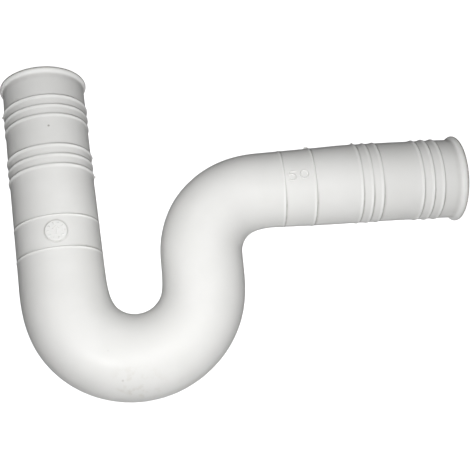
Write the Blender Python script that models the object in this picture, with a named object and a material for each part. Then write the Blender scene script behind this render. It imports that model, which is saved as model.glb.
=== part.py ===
"""A waste trap for a sink, moulded in one piece from soft white plastic.

It is a single tube: an inlet leg, a deep U-bend, a short middle leg, an upper bend and an outlet leg.
Each leg ends in a ribbed cuff with a flared mouth. The tube lies on its side, so its centreline is
level: +X runs along the outlet leg, +Y up the inlet leg and +Z up. The origin is under the middle of
the tube's box, on the surface that it lies on. Sizes are in metres, and angles in degrees.
"""

import math

import bmesh
import bpy
from mathutils import Vector

# The centreline, from the inlet's mouth to the outlet's. A bend's ease is the stretch of its
# centreline over which the curve tightens from straight, or straightens again.
INLET_LEG = 0.1261
U_BEND_RADIUS = 0.0401
U_BEND_ANGLE = 175.8
U_BEND_EASE_IN = 0.0291
U_BEND_EASE_OUT = 0.0218
MIDDLE_LEG = 0.0060
TOP_BEND_RADIUS = 0.0375
TOP_BEND_ANGLE = 90.2
TOP_BEND_EASE_IN = 0.0027
TOP_BEND_EASE_OUT = 0.0268
OUTLET_LEG = 0.1115

# The tube's outer radius, which changes a little along its length, and its wall
INLET_RADIUS = 0.0250
U_BEND_FIRST_RADIUS = 0.0254
U_BEND_LAST_RADIUS = 0.0246
MIDDLE_RADIUS = 0.0243
TOP_BEND_TUBE_RADIUS = 0.0247
NECK_RADIUS = 0.0232
OUTLET_RADIUS = 0.0244
NECK_TO_CUFF = 0.0450
WALL = 0.0025

# The flared mouths
INLET_FLARE_HEIGHT = 0.0017
OUTLET_FLARE_HEIGHT = 0.0021
FLARE_LENGTH = 0.0045
LIP_THICKNESS = 0.0012

# The sealing ribs: two groups on each cuff, measured from its mouth to their crests. A rib is
# steep on the side of its mouth and slopes away towards the bend.
RIBS_IN_GROUP = 3
RIB_HEIGHT = 0.0010
RIB_STEEP = 0.0009
RIB_SLOPE = 0.0030
INLET_FIRST_RIB = 0.0189
INLET_RIB_PITCH = 0.0065
INLET_GROUP_STEP = 0.0329
OUTLET_FIRST_RIB = 0.0145
OUTLET_RIB_PITCH = 0.0062
OUTLET_GROUP_STEP = 0.0371

# The two fine ridges that bound the plain band between a cuff and its bend
RIDGE_HEIGHT = 0.0004
RIDGE_STEEP = 0.0005
RIDGE_SLOPE = 0.0018
INLET_RIDGE = 0.0958
INLET_BAND = 0.0198
OUTLET_RIDGE = 0.0916
OUTLET_BAND = 0.0186

# How finely the tube is divided
SIDES = 32
BEND_SPACING = 0.0060
WALK_STEP = 0.0002
LEAST_SPACING = 0.0001
BORE_OVERRUN = 0.0050
WELD_DISTANCE = 0.00001

PLASTIC_COLOUR = (0.84, 0.84, 0.83, 1.0)
PLASTIC_ROUGHNESS = 0.45


def bend_stretches(radius, angle, ease_in, ease_out, turn):
    """A bend as three stretches, each a length with its curvature at either end."""
    full = turn / radius
    steady = math.radians(angle) * radius - (ease_in + ease_out) / 2
    return [(ease_in, 0.0, full), (steady, full, full), (ease_out, full, 0.0)]


STRETCHES = (
    [(INLET_LEG, 0.0, 0.0)]
    + bend_stretches(U_BEND_RADIUS, U_BEND_ANGLE, U_BEND_EASE_IN, U_BEND_EASE_OUT, 1)
    + [(MIDDLE_LEG, 0.0, 0.0)]
    + bend_stretches(TOP_BEND_RADIUS, TOP_BEND_ANGLE, TOP_BEND_EASE_IN, TOP_BEND_EASE_OUT, -1)
    + [(OUTLET_LEG, 0.0, 0.0)]
)
TUBE_LENGTH = sum(stretch[0] for stretch in STRETCHES)
U_BEND_START = INLET_LEG
U_BEND_END = sum(stretch[0] for stretch in STRETCHES[:4])
TOP_BEND_START = U_BEND_END + MIDDLE_LEG
TOP_BEND_END = TUBE_LENGTH - OUTLET_LEG


def curvature(place):
    """The centreline's curvature at a distance along it from the inlet's mouth."""
    start = 0.0
    for length, first, last in STRETCHES:
        if start <= place < start + length:
            return first + (last - first) * (place - start) / length
        start += length
    return 0.0


def centreline(places):
    """The centreline's points at these rising distances, walked from the inlet's mouth downwards."""
    points = []
    point = Vector((0.0, 0.0, 0.0))
    heading = -math.pi / 2
    reached = 0.0
    for place in places:
        steps = max(1, math.ceil(abs(place - reached) / WALK_STEP))
        step = (place - reached) / steps
        for number in range(steps):
            turn = curvature(reached + (number + 0.5) * step) * step
            middle = heading + turn / 2
            point = point + step * Vector((math.cos(middle), math.sin(middle), 0.0))
            heading += turn
        reached = place
        points.append(point.copy())
    return points


def radius_places():
    """The places along the tube where its plain outer radius is set, with that radius."""
    u_length = U_BEND_END - U_BEND_START
    top_length = TOP_BEND_END - TOP_BEND_START
    return [
        (0.0, INLET_RADIUS),
        (U_BEND_START, INLET_RADIUS),
        (U_BEND_START + 0.20 * u_length, U_BEND_FIRST_RADIUS),
        (U_BEND_START + 0.65 * u_length, U_BEND_LAST_RADIUS),
        (U_BEND_END, MIDDLE_RADIUS),
        (TOP_BEND_START + 0.30 * top_length, TOP_BEND_TUBE_RADIUS),
        (TOP_BEND_END - 0.10 * top_length, NECK_RADIUS),
        (TOP_BEND_END - 0.10 * top_length + NECK_TO_CUFF, OUTLET_RADIUS),
        (TUBE_LENGTH, OUTLET_RADIUS),
    ]


def plain_radius(place):
    """The outer radius without ribs, ridges or flares."""
    known = radius_places()
    for (start, first), (end, last) in zip(known, known[1:]):
        if place <= end:
            share = max(0.0, (place - start) / (end - start))
            return first + (last - first) * share
    return OUTLET_RADIUS


def flare(place):
    """How far a mouth's flare lifts the wall at this place."""
    from_mouth = min(place, TUBE_LENGTH - place)
    height = INLET_FLARE_HEIGHT if from_mouth == place else OUTLET_FLARE_HEIGHT
    share = (from_mouth - LIP_THICKNESS) / (FLARE_LENGTH - LIP_THICKNESS)
    share = min(1.0, max(0.0, share))
    return height * (1 + math.cos(math.pi * share)) / 2


def rings_of_cuff(first_rib, pitch, group_step, ridge, band):
    """One cuff's ribs and ridges, each as its crest's distance from the mouth and its three sizes."""
    rings = []
    for group in range(2):
        for number in range(RIBS_IN_GROUP):
            from_mouth = first_rib + group * group_step + number * pitch
            rings.append((from_mouth, RIB_HEIGHT, RIB_STEEP, RIB_SLOPE))
    for from_mouth in (ridge, ridge + band):
        rings.append((from_mouth, RIDGE_HEIGHT, RIDGE_STEEP, RIDGE_SLOPE))
    return rings


INLET_RINGS = rings_of_cuff(
    INLET_FIRST_RIB, INLET_RIB_PITCH, INLET_GROUP_STEP, INLET_RIDGE, INLET_BAND
)
OUTLET_RINGS = rings_of_cuff(
    OUTLET_FIRST_RIB, OUTLET_RIB_PITCH, OUTLET_GROUP_STEP, OUTLET_RIDGE, OUTLET_BAND
)


def ring_height(from_mouth, ring):
    """How far one rib or ridge stands up at a distance from its mouth."""
    crest, height, steep, slope = ring
    past_crest = from_mouth - crest
    share = past_crest / slope if past_crest > 0 else -past_crest / steep
    return height * (1 + math.cos(math.pi * share)) / 2 if share < 1 else 0.0


def outer_radius(place):
    """The outer radius with everything that stands on the tube."""
    heights = [ring_height(place, ring) for ring in INLET_RINGS]
    heights += [ring_height(TUBE_LENGTH - place, ring) for ring in OUTLET_RINGS]
    return plain_radius(place) + flare(place) + max(heights)


def bore_radius(place):
    """The bore keeps the wall under the plain tube and follows the flares."""
    return plain_radius(place) + flare(place) - WALL


def shared_places():
    """The places that both surfaces need: the mouths, the bends and the changes of radius."""
    places = [place for place, _ in radius_places()]
    for share in (0.0, 1 / 3, 2 / 3, 1.0):
        from_mouth = LIP_THICKNESS + share * (FLARE_LENGTH - LIP_THICKNESS)
        places += [from_mouth, TUBE_LENGTH - from_mouth]
    for start, end in ((U_BEND_START, U_BEND_END), (TOP_BEND_START, TOP_BEND_END)):
        count = round((end - start) / BEND_SPACING)
        places += [start + (end - start) * number / count for number in range(count + 1)]
    return places


def ring_places(rings):
    """The distances from the mouth at which the ribs and ridges need a ring of points."""
    places = []
    for crest, _, steep, slope in rings:
        places += [crest - steep, crest, crest + slope / 3, crest + 2 * slope / 3, crest + slope]
    return places


def outer_places():
    """The shared places and those that the ribs and ridges need."""
    from_outlet = [TUBE_LENGTH - place for place in ring_places(OUTLET_RINGS)]
    return shared_places() + ring_places(INLET_RINGS) + from_outlet


def spaced(places):
    """The places in order, without those that all but repeat the one before."""
    kept = []
    for place in sorted(places):
        if not kept or place - kept[-1] > LEAST_SPACING:
            kept.append(place)
    return kept


def swept_mesh(name, points, radii):
    """A closed mesh of a round tube through these points, made from a bevelled curve."""
    curve = bpy.data.curves.new(name, "CURVE")
    curve.dimensions = "3D"
    curve.twist_mode = "Z_UP"
    curve.bevel_depth = 1.0
    curve.bevel_resolution = (SIDES - 4) // 2
    curve.use_fill_caps = True
    spline = curve.splines.new("POLY")
    spline.points.add(len(points) - 1)
    for control, point, radius in zip(spline.points, points, radii):
        control.co = (*point, 1.0)
        control.radius = radius
    guide = bpy.data.objects.new(name, curve)
    bpy.context.scene.collection.objects.link(guide)
    bpy.context.view_layer.update()
    evaluated = guide.evaluated_get(bpy.context.evaluated_depsgraph_get())
    mesh = bpy.data.meshes.new_from_object(evaluated)
    bpy.data.objects.remove(guide)
    bpy.data.curves.remove(curve)
    shape = bmesh.new()
    shape.from_mesh(mesh)
    bmesh.ops.remove_doubles(shape, verts=shape.verts, dist=WELD_DISTANCE)
    bmesh.ops.recalc_face_normals(shape, faces=shape.faces)
    shape.to_mesh(mesh)
    shape.free()
    mesh.name = name
    return mesh


def outer_mesh():
    """The tube's outer form, closed at both mouths."""
    places = spaced(outer_places())
    return swept_mesh("trap_tube", centreline(places), [outer_radius(place) for place in places])


def bore_mesh():
    """The water's way, run past both mouths so that it cuts them open."""
    places = spaced(shared_places())
    points = centreline(places)
    radii = [bore_radius(place) for place in places]
    first_way = (points[0] - points[1]).normalized()
    last_way = (points[-1] - points[-2]).normalized()
    points = [points[0] + BORE_OVERRUN * first_way] + points + [points[-1] + BORE_OVERRUN * last_way]
    return swept_mesh("bore", points, [radii[0]] + radii + [radii[-1]])


def plastic():
    """The soft white plastic."""
    material = bpy.data.materials.new("soft_white_plastic")
    material.use_nodes = True
    shader = material.node_tree.nodes["Principled BSDF"]
    shader.inputs["Base Color"].default_value = PLASTIC_COLOUR
    shader.inputs["Roughness"].default_value = PLASTIC_ROUGHNESS
    shader.inputs["Metallic"].default_value = 0.0
    return material


def new_collection(name):
    """A collection in the scene."""
    collection = bpy.data.collections.new(name)
    bpy.context.scene.collection.children.link(collection)
    return collection


def main():
    """Clears the scene and builds the trap."""
    for old in list(bpy.data.objects):
        bpy.data.objects.remove(old)
    parts = new_collection("sink_trap")
    cutters = new_collection("cutters")

    tube = bpy.data.objects.new("trap_tube", outer_mesh())
    parts.objects.link(tube)
    tube.data.materials.append(plastic())
    tube.data.shade_smooth()
    tube.data.set_sharp_from_angle(angle=math.radians(40))

    bore = bpy.data.objects.new("bore", bore_mesh())
    cutters.objects.link(bore)
    bore.hide_render = True
    bore.display_type = "WIRE"

    corners = [Vector(corner) for corner in tube.bound_box]
    low = Vector([min(corner[axis] for corner in corners) for axis in range(3)])
    high = Vector([max(corner[axis] for corner in corners) for axis in range(3)])
    under_middle = Vector(((low.x + high.x) / 2, (low.y + high.y) / 2, low.z))
    tube.location = -under_middle
    bore.location = -under_middle

    cut = tube.modifiers.new("bore", "BOOLEAN")
    cut.operation = "DIFFERENCE"
    cut.solver = "EXACT"
    cut.object = bore


main()
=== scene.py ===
"""The looks of a one-piece waste trap for a sink, moulded in soft white plastic.

The trap lies on its side: +X runs along the outlet leg, +Y up the inlet leg and +Z up.
Sizes are in metres, and angles in degrees.
"""

import math

import bpy
import numpy as np
from mathutils import Euler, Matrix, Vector


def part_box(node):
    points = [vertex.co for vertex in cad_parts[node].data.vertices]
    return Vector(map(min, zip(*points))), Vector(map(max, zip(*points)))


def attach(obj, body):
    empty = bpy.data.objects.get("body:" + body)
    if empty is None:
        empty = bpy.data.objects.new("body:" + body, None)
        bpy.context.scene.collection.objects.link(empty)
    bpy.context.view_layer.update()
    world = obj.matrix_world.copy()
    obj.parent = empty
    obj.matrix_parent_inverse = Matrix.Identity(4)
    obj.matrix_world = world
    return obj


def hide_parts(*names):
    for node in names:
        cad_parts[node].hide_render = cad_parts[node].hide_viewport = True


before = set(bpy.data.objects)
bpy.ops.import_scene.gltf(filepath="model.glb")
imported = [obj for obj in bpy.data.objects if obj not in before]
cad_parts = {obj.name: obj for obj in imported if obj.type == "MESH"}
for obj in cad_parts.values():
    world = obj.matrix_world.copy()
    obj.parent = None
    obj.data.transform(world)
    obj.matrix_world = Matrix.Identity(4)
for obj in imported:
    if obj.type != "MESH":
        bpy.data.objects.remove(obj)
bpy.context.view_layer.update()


# The tube. The real one is a single hollow moulding in soft white plastic: two straight legs with
# sealing ribs and flared mouths, a deep U-bend and an upper bend. Nothing is joined on to it, and
# the two halves of its mould leave a fine line along both sides.

INLET_LEG = 0.1261
U_BEND_RADIUS = 0.0401
U_BEND_ANGLE = 175.8
U_BEND_EASE_IN = 0.0291
U_BEND_EASE_OUT = 0.0218
MIDDLE_LEG = 0.0060
TOP_BEND_RADIUS = 0.0375
TOP_BEND_ANGLE = 90.2
TOP_BEND_EASE_IN = 0.0027
TOP_BEND_EASE_OUT = 0.0268
OUTLET_LEG = 0.1115


def bend_stretches(radius, angle, ease_in, ease_out, turn):
    """A bend as three stretches, each a length with its curvature at either end."""
    full = turn / radius
    steady = math.radians(angle) * radius - (ease_in + ease_out) / 2
    return [(ease_in, 0.0, full), (steady, full, full), (ease_out, full, 0.0)]


STRETCHES = (
    [(INLET_LEG, 0.0, 0.0)]
    + bend_stretches(U_BEND_RADIUS, U_BEND_ANGLE, U_BEND_EASE_IN, U_BEND_EASE_OUT, 1)
    + [(MIDDLE_LEG, 0.0, 0.0)]
    + bend_stretches(TOP_BEND_RADIUS, TOP_BEND_ANGLE, TOP_BEND_EASE_IN, TOP_BEND_EASE_OUT, -1)
    + [(OUTLET_LEG, 0.0, 0.0)]
)
TUBE_LENGTH = sum(stretch[0] for stretch in STRETCHES)
U_BEND_START = INLET_LEG
U_BEND_END = sum(stretch[0] for stretch in STRETCHES[:4])
TOP_BEND_START = U_BEND_END + MIDDLE_LEG
TOP_BEND_END = TUBE_LENGTH - OUTLET_LEG
U_BEND_LENGTH = U_BEND_END - U_BEND_START
TOP_BEND_LENGTH = TOP_BEND_END - TOP_BEND_START

# The outer radius without ribs, at places along the tube
PLAIN_RADII = [
    (0.0, 0.0250),
    (U_BEND_START, 0.0250),
    (U_BEND_START + 0.20 * U_BEND_LENGTH, 0.0254),
    (U_BEND_START + 0.65 * U_BEND_LENGTH, 0.0246),
    (U_BEND_END, 0.0243),
    (TOP_BEND_START + 0.30 * TOP_BEND_LENGTH, 0.0247),
    (TOP_BEND_END - 0.10 * TOP_BEND_LENGTH, 0.0232),
    (TOP_BEND_END - 0.10 * TOP_BEND_LENGTH + 0.0450, 0.0244),
    (TUBE_LENGTH, 0.0244),
]
RADIUS_SMOOTHING = 0.006
WALL = 0.0025

# The legs came out of the mould a little out of true: sideways drift of the centreline
SIDE_DRIFT = [
    (0.0, 0.00055),
    (0.046, 0.0),
    (0.376, 0.0),
    (0.395, 0.00023),
    (0.424, 0.0),
    (0.434, -0.00025),
    (0.451, -0.00050),
    (TUBE_LENGTH, -0.00095),
]

# The inlet's cuff leans too: degrees by which its rings turn their +X side towards the mouth, and
# how far they lie towards the mouth
LEAN = [(0.0, 0.8, 0.0003), (0.0189, 1.2, 0.0001), (0.070, 1.2, 0.00015), (0.090, 0.0, 0.0)]

# The flared mouths, whose lips are rounded more on the outside than towards the bore
INLET_FLARE_HEIGHT = 0.0017
OUTLET_FLARE_HEIGHT = 0.0021
FLARE_LENGTH = 0.0040
LIP_THICKNESS = 0.0014
OUTER_ROUNDING = 0.0014
INNER_ROUNDING = 0.0006

# The sealing ribs, from each mouth: distance of the crest and height
INLET_RIBS = [
    (0.0197, 0.00120),
    (0.0261, 0.00095),
    (0.0324, 0.00085),
    (0.0524, 0.00115),
    (0.0588, 0.00085),
    (0.0653, 0.00100),
]
OUTLET_RIBS = [
    (0.0148, 0.00090),
    (0.0210, 0.00100),
    (0.0272, 0.00080),
    (0.0518, 0.00070),
    (0.0580, 0.00065),
    (0.0642, 0.00070),
]

# How far a rib takes to rise on the side of its mouth, and to fall away behind its crest
INLET_RIB_STEEP = 0.0016
OUTLET_RIB_STEEP = 0.0011
RIB_SLOPE = 0.0044

# The share of its height that a rib loses where the mould's halves meet, and on top, which depends
# on its distance from the mouth. A high power keeps both to a narrow stretch round the tube.
RIB_FADE = 0.35
RIB_TOP_FADES = [(0.035, 0.20), (0.050, 0.42)]
FADE_POWER = 8

# The two fine ridges that bound the plain band between a cuff and its bend, given as the ribs are
INLET_RIDGES = [(0.0965, 0.00055), (0.1161, 0.00050)]
OUTLET_RIDGES = [(0.0921, 0.00062), (0.1106, 0.00042)]
RIDGE_STEEP = 0.0008
RIDGE_SLOPE = 0.0020
RIDGE_FADE = 0.70

# The part of a rib's or ridge's height, and of its slope, that belongs to its narrow crest, and
# the power with which the barb behind it falls away
CREST_HEIGHT = 0.60
CREST_SLOPE = 0.38
BARB_POWER = 1.5

# The line that the two halves of the mould leave on both sides: its height, and the half widths,
# in degrees, of its flat top and of its foot
SEAM_HEIGHT = 0.00010
SEAM_HALF_WIDTHS = (0.35, 0.80)

# How finely the tube is divided
SIDES = 96
LEG_SPACING = 0.0012
BORE_SPACING = 0.0025
RIB_SPACING = 0.00018
BARB_SPACING = 0.0005
CLOSEST_SPACING = RIB_SPACING / 3
LIP_STEP = 15.0
WALK_STEPS = 2400


# The centreline, walked from the inlet's mouth, with the heading and the drift at each step
walk = np.linspace(0.0, TUBE_LENGTH, WALK_STEPS + 1)
walk_step = TUBE_LENGTH / WALK_STEPS
stretch_starts = np.cumsum([0.0] + [stretch[0] for stretch in STRETCHES])
between = (walk[:-1] + walk[1:]) / 2
bending = np.zeros(WALK_STEPS)
for start, (length, first, last) in zip(stretch_starts, STRETCHES):
    here = (between >= start) & (between < start + length)
    bending[here] = first + (last - first) * (between[here] - start) / length
walk_heading = -math.pi / 2 + np.concatenate([[0.0], np.cumsum(bending) * walk_step])
half_way = (walk_heading[:-1] + walk_heading[1:]) / 2
walk_x = np.concatenate([[0.0], np.cumsum(np.cos(half_way)) * walk_step])
walk_y = np.concatenate([[0.0], np.cumsum(np.sin(half_way)) * walk_step])

# The inlet's mouth sits at the CAD tube's low X and high Y, half way up
cad_low, cad_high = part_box("trap_tube")
mouth_x = cad_low.x + PLAIN_RADII[0][1] + INLET_FLARE_HEIGHT
mouth_y = cad_high.y
level = (cad_low.z + cad_high.z) / 2

known_places, known_radii = np.array(PLAIN_RADII).T
walk_radius = np.interp(walk, known_places, known_radii)
reach = int(RADIUS_SMOOTHING / walk_step)
weights = np.hanning(2 * reach + 1)
weights = weights / weights.sum()
walk_radius = np.convolve(np.pad(walk_radius, reach, "edge"), weights, "valid")
lean_places, leans, advances = np.array(LEAN).T
drift_places, drifts = np.array(SIDE_DRIFT).T
walk_drift = np.convolve(
    np.pad(np.interp(walk, drift_places, drifts), reach, "edge"), weights, "valid"
)


def swell(from_mouth, rings, steep, slope):
    """How far the highest of these ribs stands up at these distances from its mouth. A rib is
    steep towards the mouth. Past its narrow crest it falls away slowly, like a barb."""
    height = np.zeros_like(from_mouth)
    for crest, top in rings:
        past = (from_mouth - crest) / slope
        rise = (1 + np.cos(math.pi * np.clip((crest - from_mouth) / steep, 0.0, 1.0))) / 2
        bead = (1 + np.cos(math.pi * np.clip(past / CREST_SLOPE, 0.0, 1.0))) / 2
        barb = (1 - np.clip(past, 0.0, 1.0)) ** BARB_POWER
        fall = CREST_HEIGHT * bead + (1 - CREST_HEIGHT) * barb
        height = np.maximum(height, top * np.where(past > 0, fall, rise))
    return height


def flare(place):
    """How far the flare of the nearer mouth lifts the wall."""
    from_mouth = np.minimum(place, TUBE_LENGTH - place)
    height = np.where(place < TUBE_LENGTH / 2, INLET_FLARE_HEIGHT, OUTLET_FLARE_HEIGHT)
    share = np.clip((from_mouth - LIP_THICKNESS) / (FLARE_LENGTH - LIP_THICKNESS), 0.0, 1.0)
    return height * (1 + np.cos(math.pi * share)) / 2


def plain_radius(place):
    """The outer radius without ribs, ridges or flares."""
    return np.interp(place, walk, walk_radius)


def outer_radius(place, around):
    """The outer radius with everything that stands on the tube. Ribs and ridges are lower where
    the mould's halves meet, and ribs are a little lower on top too."""
    to_outlet = TUBE_LENGTH - place
    beside_seam = np.cos(around) ** FADE_POWER
    on_top = np.sin(around) ** FADE_POWER
    ribs = np.maximum(
        swell(place, INLET_RIBS, INLET_RIB_STEEP, RIB_SLOPE),
        swell(to_outlet, OUTLET_RIBS, OUTLET_RIB_STEEP, RIB_SLOPE),
    )
    ridges = np.maximum(
        swell(place, INLET_RIDGES, RIDGE_STEEP, RIDGE_SLOPE),
        swell(to_outlet, OUTLET_RIDGES, RIDGE_STEEP, RIDGE_SLOPE),
    )
    top_fade = np.interp(np.minimum(place, to_outlet), *np.array(RIB_TOP_FADES).T)
    ribs = ribs * (1 - RIB_FADE * beside_seam - top_fade * on_top)
    raised = ribs + ridges * (1 - RIDGE_FADE * beside_seam)
    return plain_radius(place) + flare(place) + raised


def bore_radius(place):
    """The bore keeps the wall under the plain tube and follows the flares."""
    return plain_radius(place) + flare(place) - WALL


def tube_points(place, around, radius):
    """Points at a distance along the tube, an angle round it and a radius from its centreline."""
    place, around, radius = np.broadcast_arrays(place, around, radius)
    heading = np.interp(place, walk, walk_heading)
    drift = np.interp(place, walk, walk_drift)
    sideways = drift + radius * np.cos(around)
    lean = np.radians(np.interp(place, lean_places, leans))
    back = np.interp(place, lean_places, advances) + np.tan(lean) * radius * np.cos(around)
    x = mouth_x + np.interp(place, walk, walk_x) - np.sin(heading) * sideways
    y = mouth_y + np.interp(place, walk, walk_y) + np.cos(heading) * sideways
    x = x - np.cos(heading) * back
    y = y - np.sin(heading) * back
    z = level + radius * np.sin(around)
    return np.stack([x, y, z], axis=-1)


def near_rings(rings, steep, slope):
    """Close places across each rib, as distances from its mouth, closest round its crest."""
    places = []
    for crest, _ in rings:
        crest_end = crest + CREST_SLOPE * slope
        places.append(np.arange(crest - steep - RIB_SPACING, crest_end, RIB_SPACING))
        places.append(np.arange(crest_end, crest + slope + BARB_SPACING, BARB_SPACING))
    return places


def outer_places():
    """Where the outer surface has its rings of points."""
    ends = [OUTER_ROUNDING, TUBE_LENGTH - OUTER_ROUNDING]
    plain = np.arange(OUTER_ROUNDING, TUBE_LENGTH - OUTER_ROUNDING, LEG_SPACING)
    flares = np.arange(OUTER_ROUNDING, FLARE_LENGTH, 2 * RIB_SPACING)
    from_inlet = near_rings(INLET_RIBS, INLET_RIB_STEEP, RIB_SLOPE)
    from_inlet += near_rings(INLET_RIDGES, RIDGE_STEEP, RIDGE_SLOPE)
    from_outlet = near_rings(OUTLET_RIBS, OUTLET_RIB_STEEP, RIB_SLOPE)
    from_outlet += near_rings(OUTLET_RIDGES, RIDGE_STEEP, RIDGE_SLOPE)
    fine = [flares, TUBE_LENGTH - flares] + from_inlet + [TUBE_LENGTH - one for one in from_outlet]
    fine = np.sort(np.concatenate(fine))
    nearest = np.abs(plain[:, None] - fine[None, :]).min(axis=1)
    places = np.sort(np.concatenate([ends, plain[nearest > RIB_SPACING], fine]))
    kept = [places[0]]
    for place in places[1:]:
        if place - kept[-1] > CLOSEST_SPACING:
            kept.append(place)
    return np.array(kept)


# One closed loop of rings: along the outside, round the outlet's lip, back through the bore and
# round the inlet's lip
outside = outer_places()
inside = np.arange(TUBE_LENGTH - INNER_ROUNDING, INNER_ROUNDING, -BORE_SPACING)
turns = np.radians(np.arange(LIP_STEP, 90.0 + LIP_STEP, LIP_STEP))
outer_in = OUTER_ROUNDING * (1 - np.sin(turns))
outer_down = OUTER_ROUNDING * (1 - np.cos(turns))
inner_in = INNER_ROUNDING * (1 - np.sin(turns))
inner_up = INNER_ROUNDING * (1 - np.cos(turns))
outlet_lip = plain_radius(TUBE_LENGTH) + OUTLET_FLARE_HEIGHT, bore_radius(TUBE_LENGTH)
inlet_lip = plain_radius(0.0) + INLET_FLARE_HEIGHT, bore_radius(0.0)
ring_places = np.concatenate(
    [
        outside,
        TUBE_LENGTH - outer_in,
        TUBE_LENGTH - inner_in[::-1],
        inside,
        inner_in,
        outer_in[::-1],
    ]
)
lip_and_bore_radii = np.concatenate(
    [
        outlet_lip[0] - outer_down,
        outlet_lip[1] + inner_up[::-1],
        bore_radius(inside),
        inlet_lip[1] + inner_up,
        inlet_lip[0] - outer_down[::-1],
    ]
)

seam_offsets = np.array([side * width for width in SEAM_HALF_WIDTHS for side in (-1, 1)])
angles = np.concatenate([np.arange(SIDES) * 360.0 / SIDES, seam_offsets, 180.0 + seam_offsets])
angles = np.sort(angles % 360.0)
from_seam = np.abs((angles + 90.0) % 180.0 - 90.0)
seam = SEAM_HEIGHT * np.interp(from_seam, SEAM_HALF_WIDTHS, (1.0, 0.0))
around = np.radians(angles)
outside_radii = outer_radius(outside[:, None], around[None, :]) + seam[None, :]
inside_radii = np.repeat(lip_and_bore_radii[:, None], len(angles), axis=1)
radii = np.concatenate([outside_radii, inside_radii])
grid = tube_points(ring_places[:, None], around[None, :], radii)

rings_count, columns = grid.shape[:2]
numbers = np.arange(rings_count * columns).reshape(rings_count, columns)
next_ring = np.roll(numbers, -1, axis=0)
quads = np.stack(
    [numbers, np.roll(numbers, -1, axis=1), np.roll(next_ring, -1, axis=1), next_ring], axis=-1
)
tube_mesh = bpy.data.meshes.new("moulded_tube")
tube_mesh.from_pydata(grid.reshape(-1, 3).tolist(), [], quads.reshape(-1, 4).tolist())
tube_mesh.shade_smooth()

# The mesh carries painted shade in the crease at the foot of each rib and ridge and on the lips,
# and painted highlights along the crests. Both fade out on top and underneath, so they show at the
# sides.
SHADE_LINE_HALF_WIDTH = 0.00050
HIGHLIGHT_LINE_HALF_WIDTH = 0.00070

# How far behind the crest a painted stripe's middle lies. The painted shade of a crease lies before
# it, towards the mouth.
INLET_RIB_SHADE_LINE = -0.70 * INLET_RIB_STEEP
OUTLET_RIB_SHADE_LINE = -0.75 * OUTLET_RIB_STEEP
RIDGE_SHADE_LINE = -0.75 * RIDGE_STEEP
CREST_HIGHLIGHT_LINE = 0.0003

# The stripes on the lips and behind the flares, painted shade and a painted highlight: distance
# from the mouth and half width
LIP_PAINTED_SHADE = (0.0012, 0.0006)
LIP_PAINTED_HIGHLIGHT = (0.0030, 0.0010)
NECK_PAINTED_SHADE = (0.0056, 0.0014)
NECK_SHADE_DEPTH = 0.22


def stripe(from_mouth, middle, half_width):
    """A soft stripe round the tube, from 0 to 1."""
    return np.exp(-(((from_mouth - middle) / half_width) ** 2))


def stripes(from_mouth, rings, behind, half_width):
    """A stripe at each of these ribs or ridges, from 0 to 1."""
    each = [stripe(from_mouth, crest + behind, half_width) for crest, _ in rings]
    return np.maximum.reduce(each)


from_outlet = TUBE_LENGTH - outside
painted_crease_shade = np.maximum.reduce(
    [
        stripes(outside, INLET_RIBS, INLET_RIB_SHADE_LINE, SHADE_LINE_HALF_WIDTH),
        stripes(outside, INLET_RIDGES, RIDGE_SHADE_LINE, SHADE_LINE_HALF_WIDTH),
        stripes(from_outlet, OUTLET_RIBS, OUTLET_RIB_SHADE_LINE, SHADE_LINE_HALF_WIDTH),
        stripes(from_outlet, OUTLET_RIDGES, RIDGE_SHADE_LINE, SHADE_LINE_HALF_WIDTH),
    ]
)
# Painted highlights along the crests of the ribs and ridges
painted_crest_highlights = np.maximum(
    stripes(outside, INLET_RIBS + INLET_RIDGES, CREST_HIGHLIGHT_LINE, HIGHLIGHT_LINE_HALF_WIDTH),
    stripes(from_outlet, OUTLET_RIBS + OUTLET_RIDGES, CREST_HIGHLIGHT_LINE, HIGHLIGHT_LINE_HALF_WIDTH),
)
at_sides = np.minimum(1.0, 2 * np.cos(around) ** 2)
from_mouth = np.minimum(outside, from_outlet)
painted_flare_shade = stripe(from_mouth, *LIP_PAINTED_SHADE) + NECK_SHADE_DEPTH * stripe(from_mouth, *NECK_PAINTED_SHADE)

# The rings of the lips' rounding are all in painted shade, and the bore has none
bare = np.zeros((len(ring_places) - len(outside), columns))
lip_ends = len(outside) + len(outer_in), len(ring_places) - len(outer_in)
painted_shade_rings = np.concatenate([painted_crease_shade[:, None] * at_sides[None, :], bare])
painted_shade_rings[: len(outside)] += painted_flare_shade[:, None]
painted_shade_rings[len(outside) : lip_ends[0]] = 1.0
painted_shade_rings[lip_ends[1] :] = 1.0
painted_highlight_rings = np.concatenate([painted_crest_highlights[:, None] * at_sides[None, :], bare])
painted_highlight_rings[: len(outside)] += stripe(from_mouth, *LIP_PAINTED_HIGHLIGHT)[:, None]
# The crease layer holds painted shade and the crest layer painted highlights
for name, rings in (("crease", painted_shade_rings), ("crest", painted_highlight_rings)):
    layer = tube_mesh.attributes.new(name, "FLOAT", "POINT")
    layer.data.foreach_set("value", rings.ravel())

tube = bpy.data.objects.new("moulded_tube", tube_mesh)
bpy.context.scene.collection.objects.link(tube)

# The plastic: nearly white and a little warm, with a soft satin skin, faint clouding, the fine
# grain of the mould and a few specks, scuffed where the U-bend rests. Shade is painted into the
# creases, on the lips and round the dial, and light on the crests, below the lips and on the dial's
# face.

LIGHT_PLASTIC = (0.815, 0.813, 0.797, 1.0)
SHADED_PLASTIC = (0.770, 0.768, 0.750, 1.0)
# Painted light on the dial's face
PAINTED_LIT_DIAL_PLASTIC = (0.862, 0.860, 0.845, 1.0)
# Painted highlight along the crests and below the lips
PAINTED_HIGHLIGHT_PLASTIC = (0.925, 0.923, 0.910, 1.0)
SPECK_COLOUR = (0.300, 0.280, 0.250, 1.0)
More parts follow.
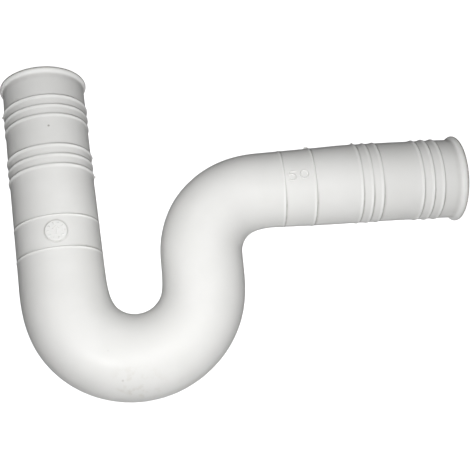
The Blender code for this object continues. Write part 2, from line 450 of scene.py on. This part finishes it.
# Painted shade in the creases, on the lips and round the dial
PAINTED_SHADE_COLOUR = (0.430, 0.420, 0.395, 1.0)
SCUFF_COLOUR = (0.660, 0.640, 0.590, 1.0)
SATIN_ROUGHNESS = (0.34, 0.42)
SHEEN_LEVEL = 0.3

# The noises: scale and detail
CLOUD_NOISE = (24.0, 4.0)
WAVE_NOISE = (42.0, 2.0)
RARE_SPECK_NOISE = (50.0, 1.0)
SCUFF_NOISE = (210.0, 6.0)
MOTTLE_NOISE = (260.0, 3.0)
GRAIN_NOISE = (1500.0, 2.0)

# The stretch of each noise that counts, from nothing to all
CLOUD_STRETCH = (0.35, 0.65)
RARE_SPECK_STRETCH = (0.64, 0.70)
SCUFF_STRETCH = (0.50, 0.68)
SHADE_STRETCH = (0.25, 0.75)
SATIN_STRETCH = (0.30, 0.70)

# How strongly each effect shows in the colour. Painted shade has a lowest and a highest share.
CLOUD_DEPTH = 0.8
DIAL_LIGHT_DEPTH = 0.5
HIGHLIGHT_DEPTH = 0.9
CREASE_SHADE_DEPTH = (0.55, 0.90)
DIAL_SHADE_DEPTH = (0.12, 0.40)
SCUFF_DEPTH = 0.50
SPECK_DEPTH = 0.35

# Fine specks: cells for each metre, and a speck's core and edge in shares of a cell
SPECK_CELLS = 150.0
SPECK_REACH = (0.030, 0.075)

# Two darker specks, one between the inlet's rib groups and one low on the U-bend: distance along
# the tube, angle round it and depth. Then a dark speck's core and edge.
DARK_SPECKS = [(0.0399, 79.7, 0.75), (0.1947, 129.4, 0.32)]
DARK_SPECK_REACH = (0.00020, 0.00100)

# The place where the U-bend is scuffed, how far the scuffs reach and how much they dull the skin
SCUFFED_PLACE = (0.200, 142.0)
SCUFF_REACH = (0.004, 0.020)
SCUFF_DULLNESS = 0.20

# Where the dial stands, and the reach of the painted light on its face and of the painted shadow
# round its edge
DIAL_PLACE = 0.1062
DIAL_AROUND = 84.4
DIAL_LIGHT_REACH = (0.00589, 0.00640)
DIAL_SHADE_INSIDE = (0.0058, 0.0066)
DIAL_SHADE_OUTSIDE = (0.0068, 0.0076)

# The skin's relief, in shares of the bump's depth
GRAIN_RELIEF = 0.10
MOTTLE_RELIEF = 0.22
WAVE_RELIEF = 2.6
SCUFF_RELIEF = 0.25
BUMP_DEPTH = 0.0001
BUMP_STRENGTH = 0.5

plastic = bpy.data.materials.new("soft_white_plastic")
plastic.use_nodes = True
plastic_nodes = plastic.node_tree.nodes
plastic_links = plastic.node_tree.links
skin = plastic_nodes["Principled BSDF"]
skin.inputs["Specular IOR Level"].default_value = SHEEN_LEVEL
place_on_tube = plastic_nodes.new("ShaderNodeTexCoord").outputs["Object"]


def noise(scale, detail):
    """A noise over the tube's own coordinates, from 0 to 1."""
    node = plastic_nodes.new("ShaderNodeTexNoise")
    node.inputs["Scale"].default_value = scale
    node.inputs["Detail"].default_value = detail
    plastic_links.new(place_on_tube, node.inputs["Vector"])
    return node.outputs["Fac"]


def ranged(value, low, high, to_low=0.0, to_high=1.0):
    """A value's stretch from low to high, mapped smoothly to another."""
    node = plastic_nodes.new("ShaderNodeMapRange")
    node.interpolation_type = "SMOOTHSTEP"
    node.inputs["From Min"].default_value = low
    node.inputs["From Max"].default_value = high
    node.inputs["To Min"].default_value = to_low
    node.inputs["To Max"].default_value = to_high
    plastic_links.new(value, node.inputs["Value"])
    return node.outputs["Result"]


def maths(operation, first, second):
    """Two values, or a value and a number, combined."""
    node = plastic_nodes.new("ShaderNodeMath")
    node.operation = operation
    plastic_links.new(first, node.inputs[0])
    if isinstance(second, float):
        node.inputs[1].default_value = second
    else:
        plastic_links.new(second, node.inputs[1])
    return node.outputs["Value"]


def mixed(share, first, second):
    """Two colours mixed by a share."""
    node = plastic_nodes.new("ShaderNodeMix")
    node.data_type = "RGBA"
    plastic_links.new(share, node.inputs["Factor"])
    for socket, colour in ((node.inputs[6], first), (node.inputs[7], second)):
        if isinstance(colour, tuple):
            socket.default_value = colour
        else:
            plastic_links.new(colour, socket)
    return node.outputs[2]


def distance_from(place, around):
    """How far the surface is from a point on the plain tube."""
    point = tube_points(place, math.radians(around), plain_radius(place))
    node = plastic_nodes.new("ShaderNodeVectorMath")
    node.operation = "DISTANCE"
    plastic_links.new(place_on_tube, node.inputs[0])
    node.inputs[1].default_value = tuple(point)
    return node.outputs["Value"]


def ring_layer(name):
    """The painted shade or painted highlight that the tube's mesh carries, from 0 to 1."""
    node = plastic_nodes.new("ShaderNodeAttribute")
    node.attribute_name = name
    return node.outputs["Fac"]


cloud = ranged(noise(*CLOUD_NOISE), *CLOUD_STRETCH)
mottle = noise(*MOTTLE_NOISE)
tone = mixed(maths("MULTIPLY", cloud, CLOUD_DEPTH), LIGHT_PLASTIC, SHADED_PLASTIC)

# The dial's face is painted lighter: painted light, for the light that its flat face catches
to_dial = distance_from(DIAL_PLACE, DIAL_AROUND)
painted_dial_light = ranged(to_dial, *DIAL_LIGHT_REACH, 1.0, 0.0)
tone = mixed(maths("MULTIPLY", painted_dial_light, DIAL_LIGHT_DEPTH), tone, PAINTED_LIT_DIAL_PLASTIC)

# Painted highlights on the crests and below the lips, then painted shade in the creases and on the
# lips
painted_highlight = maths("MULTIPLY", ring_layer("crest"), HIGHLIGHT_DEPTH)
tone = mixed(painted_highlight, tone, PAINTED_HIGHLIGHT_PLASTIC)
crease_shade_depth = ranged(mottle, *SHADE_STRETCH, *CREASE_SHADE_DEPTH)
tone = mixed(maths("MULTIPLY", ring_layer("crease"), crease_shade_depth), tone, PAINTED_SHADE_COLOUR)
# A painted shadow round the dial's edge
dial_edge_shadow = maths(
    "MULTIPLY",
    ranged(to_dial, *DIAL_SHADE_INSIDE),
    ranged(to_dial, *DIAL_SHADE_OUTSIDE, 1.0, 0.0),
)
dial_shadow_depth = ranged(mottle, *SHADE_STRETCH, *DIAL_SHADE_DEPTH)
tone = mixed(maths("MULTIPLY", dial_edge_shadow, dial_shadow_depth), tone, PAINTED_SHADE_COLOUR)

near_scuffs = ranged(distance_from(*SCUFFED_PLACE), *SCUFF_REACH, 1.0, 0.0)
scratchy = ranged(noise(*SCUFF_NOISE), *SCUFF_STRETCH)
scuffs = maths("MULTIPLY", maths("MULTIPLY", near_scuffs, scratchy), SCUFF_DEPTH)
tone = mixed(scuffs, tone, SCUFF_COLOUR)

speckle = plastic_nodes.new("ShaderNodeTexVoronoi")
speckle.inputs["Scale"].default_value = SPECK_CELLS
plastic_links.new(place_on_tube, speckle.inputs["Vector"])
near_speck = ranged(speckle.outputs["Distance"], *SPECK_REACH, 1.0, 0.0)
rare = ranged(noise(*RARE_SPECK_NOISE), *RARE_SPECK_STRETCH)
specks = maths("MULTIPLY", maths("MULTIPLY", near_speck, rare), SPECK_DEPTH)
for speck_place, speck_around, depth in DARK_SPECKS:
    spot = ranged(distance_from(speck_place, speck_around), *DARK_SPECK_REACH, depth, 0.0)
    specks = maths("MAXIMUM", specks, spot)
plastic_links.new(mixed(specks, tone, SPECK_COLOUR), skin.inputs["Base Color"])

satin = ranged(mottle, *SATIN_STRETCH, *SATIN_ROUGHNESS)
satin = maths("ADD", satin, maths("MULTIPLY", scuffs, SCUFF_DULLNESS))
plastic_links.new(satin, skin.inputs["Roughness"])

relief = maths("MULTIPLY", noise(*GRAIN_NOISE), GRAIN_RELIEF)
relief = maths("ADD", relief, maths("MULTIPLY", mottle, MOTTLE_RELIEF))
relief = maths("ADD", relief, maths("MULTIPLY", noise(*WAVE_NOISE), WAVE_RELIEF))
relief = maths("SUBTRACT", relief, maths("MULTIPLY", scuffs, SCUFF_RELIEF))
bump = plastic_nodes.new("ShaderNodeBump")
bump.inputs["Strength"].default_value = BUMP_STRENGTH
bump.inputs["Distance"].default_value = BUMP_DEPTH
plastic_links.new(relief, bump.inputs["Height"])
plastic_links.new(bump.outputs["Normal"], skin.inputs["Normal"])

tube_mesh.materials.append(plastic)
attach(tube, "root")
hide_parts("trap_tube")


# The dial on the inlet's plain band. The real one is a round insert in the mould that leaves a
# flat, slightly raised disc with small strokes on it. It is part of the same moulding.

DIAL_RADIUS = 0.0068
DIAL_FACE_RADIUS = 0.0060
DIAL_HEIGHT = 0.00045
DIAL_FLATNESS = 0.35
DIAL_SIDES = 72

# The disc's rings of points, in shares of its face's radius and then of its sloping edge
FACE_RINGS = [0.15, 0.4, 0.6, 0.75, 0.88, 0.94, 1.0]
EDGE_RINGS = [0.25, 0.5, 0.75, 1.0]

# The strokes on the face: ticks round it and an arrow, as distances along and across the tube
STROKE_WIDTH = 0.0011
STROKE_HEIGHT = 0.00034
DIAL_TICKS = 10
TICK_REACH = (0.0038, 0.0052)
ARROW_SHAFT = [(-0.0026, 0.0), (0.0026, 0.0)]
ARROW_HEAD = [(-0.0008, -0.0018), (-0.0026, 0.0), (-0.0008, 0.0018)]
ARROW_STEPS = 6
TICK_STEPS = 4

# Across a raised line: its points in shares of its width, and how deep its edges sink into the
# tube. An open line's ends have a share of its width and height. Faces that meet at more than
# the sharp angle aren't smoothed.
LINE_SHARES = np.linspace(-0.56, 0.56, 9)
SUNK = 0.00025
LINE_END_SHARE = 0.55
SHARP_ANGLE = 70.0


def dial_ground(place, around):
    """How high the dial's face stands over the tube. It is flatter than the tube's own curve."""
    across = (around - math.radians(DIAL_AROUND)) * plain_radius(place)
    return DIAL_HEIGHT + DIAL_FLATNESS * across**2 / (2 * plain_radius(place))


def dial_disc():
    """The dial's disc as rings of points round its middle: points and faces."""
    face = np.array(FACE_RINGS) * DIAL_FACE_RADIUS
    edge = np.array(EDGE_RINGS)
    reaches = np.concatenate([face, DIAL_FACE_RADIUS + edge * (DIAL_RADIUS - DIAL_FACE_RADIUS)])
    standing = np.concatenate([np.ones(len(face)), (1 + np.cos(math.pi * edge)) / 2])
    turn = np.radians(np.arange(DIAL_SIDES) * 360.0 / DIAL_SIDES)
    place = DIAL_PLACE + reaches[:, None] * np.sin(turn)[None, :]
    across = reaches[:, None] * np.cos(turn)[None, :]
    around = math.radians(DIAL_AROUND) + across / plain_radius(place)
    lift = dial_ground(place, around) * standing[:, None]
    lift[-1] = -SUNK
    points = tube_points(place, around, plain_radius(place) + lift).reshape(-1, 3)
    numbers = np.arange(len(points)).reshape(len(reaches), len(turn))
    aside = np.roll(numbers, -1, axis=1)
    faces = np.stack([numbers[:-1], aside[:-1], aside[1:], numbers[1:]], axis=-1)
    faces = faces.reshape(-1, 4)[:, ::-1].tolist()
    return points, faces + [numbers[0].tolist(), numbers[-1][::-1].tolist()]


def raised_line(path, width, height, closed, ground=None):
    """A low rounded line that stands on the tube, or on the ground that a function gives: points
    and faces. The path's points are a distance along the tube and an angle round it, in radians."""
    path = np.array(path, float)
    if closed:
        ahead = np.roll(path, -1, axis=0) - np.roll(path, 1, axis=0)
    else:
        ahead = np.gradient(path, axis=0)
    radius = plain_radius(path[:, 0])
    way = np.stack([ahead[:, 0], ahead[:, 1] * radius], axis=1)
    way = way / np.linalg.norm(way, axis=1, keepdims=True)
    across = LINE_SHARES * width
    lifts = height * np.cos(math.pi * np.clip(LINE_SHARES, -0.5, 0.5)) ** 2
    lifts[[0, -1]] = -SUNK
    swelling = np.ones(len(path))
    if not closed:
        swelling[[0, -1]] = LINE_END_SHARE
    sideways = across[None, :] * swelling[:, None]
    place = path[:, :1] - way[:, 1:] * sideways
    around = path[:, 1:] + way[:, :1] * sideways / radius[:, None]
    lift = np.where(lifts < 0, lifts, lifts * swelling[:, None])
    if ground is not None:
        lift = lift + ground(place, around)
    points = tube_points(place, around, plain_radius(place) + lift)
    count, wide = points.shape[:2]
    index = np.arange(count * wide).reshape(count, wide)
    following = np.roll(index, -1, axis=0) if closed else index[1:]
    rows = index if closed else index[:-1]
    sides = np.stack(
        [rows, following, np.roll(following, -1, axis=1), np.roll(rows, -1, axis=1)], axis=-1
    )
    faces = sides.reshape(-1, 4).tolist()
    if not closed:
        faces += [index[0].tolist(), index[-1][::-1].tolist()]
    return points.reshape(-1, 3), faces


def relief_piece(name, lines):
    """One piece made of raised lines in the tube's plastic."""
    points, faces = [], []
    for line_points, line_faces in lines:
        start = sum(len(one) for one in points)
        points.append(line_points)
        faces += [[start + corner for corner in face] for face in line_faces]
    mesh = bpy.data.meshes.new(name)
    mesh.from_pydata(np.concatenate(points).tolist(), [], faces)
    mesh.validate()
    mesh.shade_smooth()
    mesh.set_sharp_from_angle(angle=math.radians(SHARP_ANGLE))
    mesh.materials.append(plastic)
    piece = bpy.data.objects.new(name, mesh)
    bpy.context.scene.collection.objects.link(piece)
    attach(piece, "root")


def on_tube(path, place, around):
    """A drawing's points, as distances along and across the tube, put round a place on it."""
    radius = float(plain_radius(place))
    return [(place + along, math.radians(around) + across / radius) for along, across in path]


def dense(path, steps):
    """The path with more points on its straight stretches."""
    points = []
    for (a, b), (c, d) in zip(path, path[1:]):
        points += [(a + (c - a) * k / steps, b + (d - b) * k / steps) for k in range(steps)]
    return points + [path[-1]]


dial_strokes = [dense(ARROW_SHAFT, ARROW_STEPS), dense(ARROW_HEAD, ARROW_STEPS)]
for number in range(DIAL_TICKS):
    turn = 2 * math.pi * number / DIAL_TICKS
    ends = [(reach * math.sin(turn), reach * math.cos(turn)) for reach in TICK_REACH]
    dial_strokes.append(dense(ends, TICK_STEPS))
dial_parts = [dial_disc()]
for stroke in dial_strokes:
    path = on_tube(stroke, DIAL_PLACE, DIAL_AROUND)
    dial_parts.append(raised_line(path, STROKE_WIDTH, STROKE_HEIGHT, False, dial_ground))
relief_piece("band_dial", dial_parts)


# The size number on the outlet's plain band: 50, for a pipe 50 mm wide. Its raised figures are
# part of the moulding, cut into the mould with a round-nosed tool.

FIGURE_HALF_WIDTH = 0.0021
FIGURE_HALF_HEIGHT = 0.0028
FIGURE_LINE = 0.0011
FIGURE_RELIEF = 0.00060
FIGURE_STEPS = 4

# Where the figures stand: distance along the tube and angle round it
FIVE_PLACE = (0.3601, 93.0)
ZERO_PLACE = (0.3673, 92.2)

# The figures' strokes in halves of their width and height, with +Y towards the top. The zero is
# an oval, given by its half width, half height and number of points.
FIVE_TOP = [(0.95, 1.0), (-0.80, 1.0), (-0.95, 0.12)]
FIVE_BOWL = [
    (-0.95, 0.12), (-0.40, 0.32), (0.25, 0.30), (0.78, 0.08), (1.0, -0.30),
    (0.85, -0.68), (0.40, -0.93), (-0.20, -1.0), (-0.70, -0.92), (-0.98, -0.72),
]
ZERO_HALF_WIDTH = 1.1
ZERO_HALF_HEIGHT = 0.88
ZERO_POINTS = 40


def figure_line(path, place, closed):
    """A figure's stroke, raised on the tube: its X runs along the tube and its Y across it."""
    drawn = [(x * FIGURE_HALF_WIDTH, -y * FIGURE_HALF_HEIGHT) for x, y in path]
    return raised_line(on_tube(drawn, *place), FIGURE_LINE, FIGURE_RELIEF, closed)


zero = []
for number in range(ZERO_POINTS):
    turn = 2 * math.pi * number / ZERO_POINTS
    zero.append((ZERO_HALF_WIDTH * math.sin(turn), ZERO_HALF_HEIGHT * math.cos(turn)))
number_lines = [
    figure_line(dense(FIVE_TOP, FIGURE_STEPS), FIVE_PLACE, closed=False),
    figure_line(dense(FIVE_BOWL, FIGURE_STEPS), FIVE_PLACE, closed=False),
    figure_line(zero, ZERO_PLACE, closed=True),
]
relief_piece("size_number", number_lines)


# Small nibs of flash at the ends of some ribs and of one ridge, where the mould's halves met. They
# are thin plastic that crept out between the halves.

NIB_POINTS = 7
NIBS = [
    # distance along the tube, angle round it, length, width, height
    (0.0178, 176.0, 0.0018, 0.0010, 0.0017),
    (0.0524, -6.0, 0.0012, 0.0009, 0.0016),
    (0.0653, -6.0, 0.0014, 0.0009, 0.0016),
    (0.3728, 22.0, 0.0026, 0.0011, 0.0011),
    (0.4018, 22.0, 0.0012, 0.0009, 0.0013),
]
nib_lines = []
for nib_place, nib_around, length, width, height in NIBS:
    path = [(along, 0.0) for along in np.linspace(-length / 2, length / 2, NIB_POINTS)]
    nib_lines.append(raised_line(on_tube(path, nib_place, nib_around), width, height, False))
relief_piece("flash_nibs", nib_lines)


# The floor, the lights and the camera. The trap lies on a plain pale surface in a studio with soft
# light from overhead and in front, and the camera looks down on it as in the photo.

FLOOR_SIZE = 6.0
FLOOR_COLOUR = (0.9, 0.9, 0.9, 1.0)
FLOOR_ROUGHNESS = 0.8
FLOOR_GLOW = 0.9
BACKDROP_BRIGHTNESS = 0.93
WHITE = (1.0, 1.0, 1.0, 1.0)

# The floor glows so that it looks evenly pale, but it throws no light on the trap
floor_mesh = bpy.data.meshes.new("floor")
half = FLOOR_SIZE / 2
floor_mesh.from_pydata(
    [(-half, -half, 0.0), (half, -half, 0.0), (half, half, 0.0), (-half, half, 0.0)],
    [],
    [(0, 1, 2, 3)],
)
floor = bpy.data.objects.new("floor", floor_mesh)
bpy.context.scene.collection.objects.link(floor)
floor.visible_diffuse = False
floor.visible_glossy = False
pale = bpy.data.materials.new("pale_floor")
pale.use_nodes = True
pale_shader = pale.node_tree.nodes["Principled BSDF"]
pale_shader.inputs["Base Color"].default_value = FLOOR_COLOUR
pale_shader.inputs["Roughness"].default_value = FLOOR_ROUGHNESS
pale_shader.inputs["Emission Color"].default_value = WHITE
pale_shader.inputs["Emission Strength"].default_value = FLOOR_GLOW
floor_mesh.materials.append(pale)

# The lamp over the U-bend only lights the plastic, and the sheen lamp only shines in it
LAMPS = [
    # name, place, width, power, whether it lights the plastic, whether it shines in it
    ("lamp_over_u_bend", (-0.060, -0.120, 0.300), 0.10, 0.439, True, False),
    ("lamp_over_camera", (-0.080, -0.200, 0.450), 0.20, 0.062, True, True),
    ("lamp_over_outlet", (0.050, -0.100, 0.350), 0.15, 0.154, True, True),
    ("front_lamp", (-0.020, -0.900, 0.500), 0.40, 0.292, True, True),
    ("low_left_lamp", (-0.200, -0.400, 0.150), 0.20, 0.038, True, True),
    ("back_lamp", (-0.050, 0.150, 0.400), 0.20, 0.046, True, True),
    ("gap_lamp", (-0.070, 0.040, 0.120), 0.05, 0.0066, True, True),
    ("sheen_lamp", (-0.190, -0.190, 0.290), 0.05, 0.300, False, True),
]
AIM = Vector((-0.02, 0.0, 0.03))
for name, place, width, power, lights, shines in LAMPS:
    lamp = bpy.data.lights.new(name, "AREA")
    lamp.shape = "DISK"
    lamp.size = width
    lamp.energy = power
    holder = bpy.data.objects.new(name, lamp)
    holder.location = place
    holder.rotation_euler = (AIM - Vector(place)).to_track_quat("-Z", "Y").to_euler()
    holder.visible_camera = False
    holder.visible_diffuse = lights
    holder.visible_glossy = shines
    bpy.context.scene.collection.objects.link(holder)

world = bpy.data.worlds.new("studio")
world.use_nodes = True
world_nodes = world.node_tree.nodes
world_links = world.node_tree.links
direction = world_nodes.new("ShaderNodeTexCoord").outputs["Generated"]


def glow(towards, strength):
    """Soft light from one side of the room, brightest from straight that way."""
    facing = world_nodes.new("ShaderNodeVectorMath")
    facing.operation = "DOT_PRODUCT"
    facing.inputs[1].default_value = towards
    world_links.new(direction, facing.inputs[0])
    lit = world_nodes.new("ShaderNodeMath")
    lit.operation = "MAXIMUM"
    lit.inputs[1].default_value = 0.0
    world_links.new(facing.outputs["Value"], lit.inputs[0])
    scaled = world_nodes.new("ShaderNodeMath")
    scaled.operation = "MULTIPLY"
    scaled.inputs[1].default_value = strength
    world_links.new(lit.outputs["Value"], scaled.inputs[0])
    return scaled.outputs["Value"]


# From overhead, from low in front, and a little back up from the floor
GLOWS = [((0.0, 0.0, 1.0), 0.428), ((0.0, -0.866, -0.5), 0.495), ((0.0, 0.0, -1.0), 0.08)]
light_round = glow(*GLOWS[0])
for towards, strength in GLOWS[1:]:
    summed = world_nodes.new("ShaderNodeMath")
    summed.operation = "ADD"
    world_links.new(light_round, summed.inputs[0])
    world_links.new(glow(towards, strength), summed.inputs[1])
    light_round = summed.outputs["Value"]

# The camera sees an even pale backdrop instead of the glows
seen = world_nodes.new("ShaderNodeMix")
world_links.new(world_nodes.new("ShaderNodeLightPath").outputs["Is Camera Ray"], seen.inputs[0])
world_links.new(light_round, seen.inputs[2])
seen.inputs[3].default_value = BACKDROP_BRIGHTNESS
world_links.new(seen.outputs[0], world_nodes["Background"].inputs["Strength"])
world_nodes["Background"].inputs["Color"].default_value = WHITE
bpy.context.scene.world = world
bpy.context.scene.view_settings.view_transform = "Standard"

# The camera, fitted to the outline and the rib lines in the photo. Lens and sensor are in
# millimetres.
CAMERA_LENS = 59.2297
CAMERA_SENSOR = 36.0
CAMERA_PLACE = (-0.05434, -0.16006, 0.46804)
CAMERA_TURNS = (19.0501, -2.8215, -9.8579)
camera_data = bpy.data.cameras.new("camera")
camera_data.lens = CAMERA_LENS
camera_data.sensor_width = CAMERA_SENSOR
camera = bpy.data.objects.new("camera", camera_data)
camera.location = CAMERA_PLACE
camera.rotation_euler = Euler([math.radians(turn) for turn in CAMERA_TURNS], "XYZ")
bpy.context.scene.collection.objects.link(camera)
bpy.context.scene.camera = camera
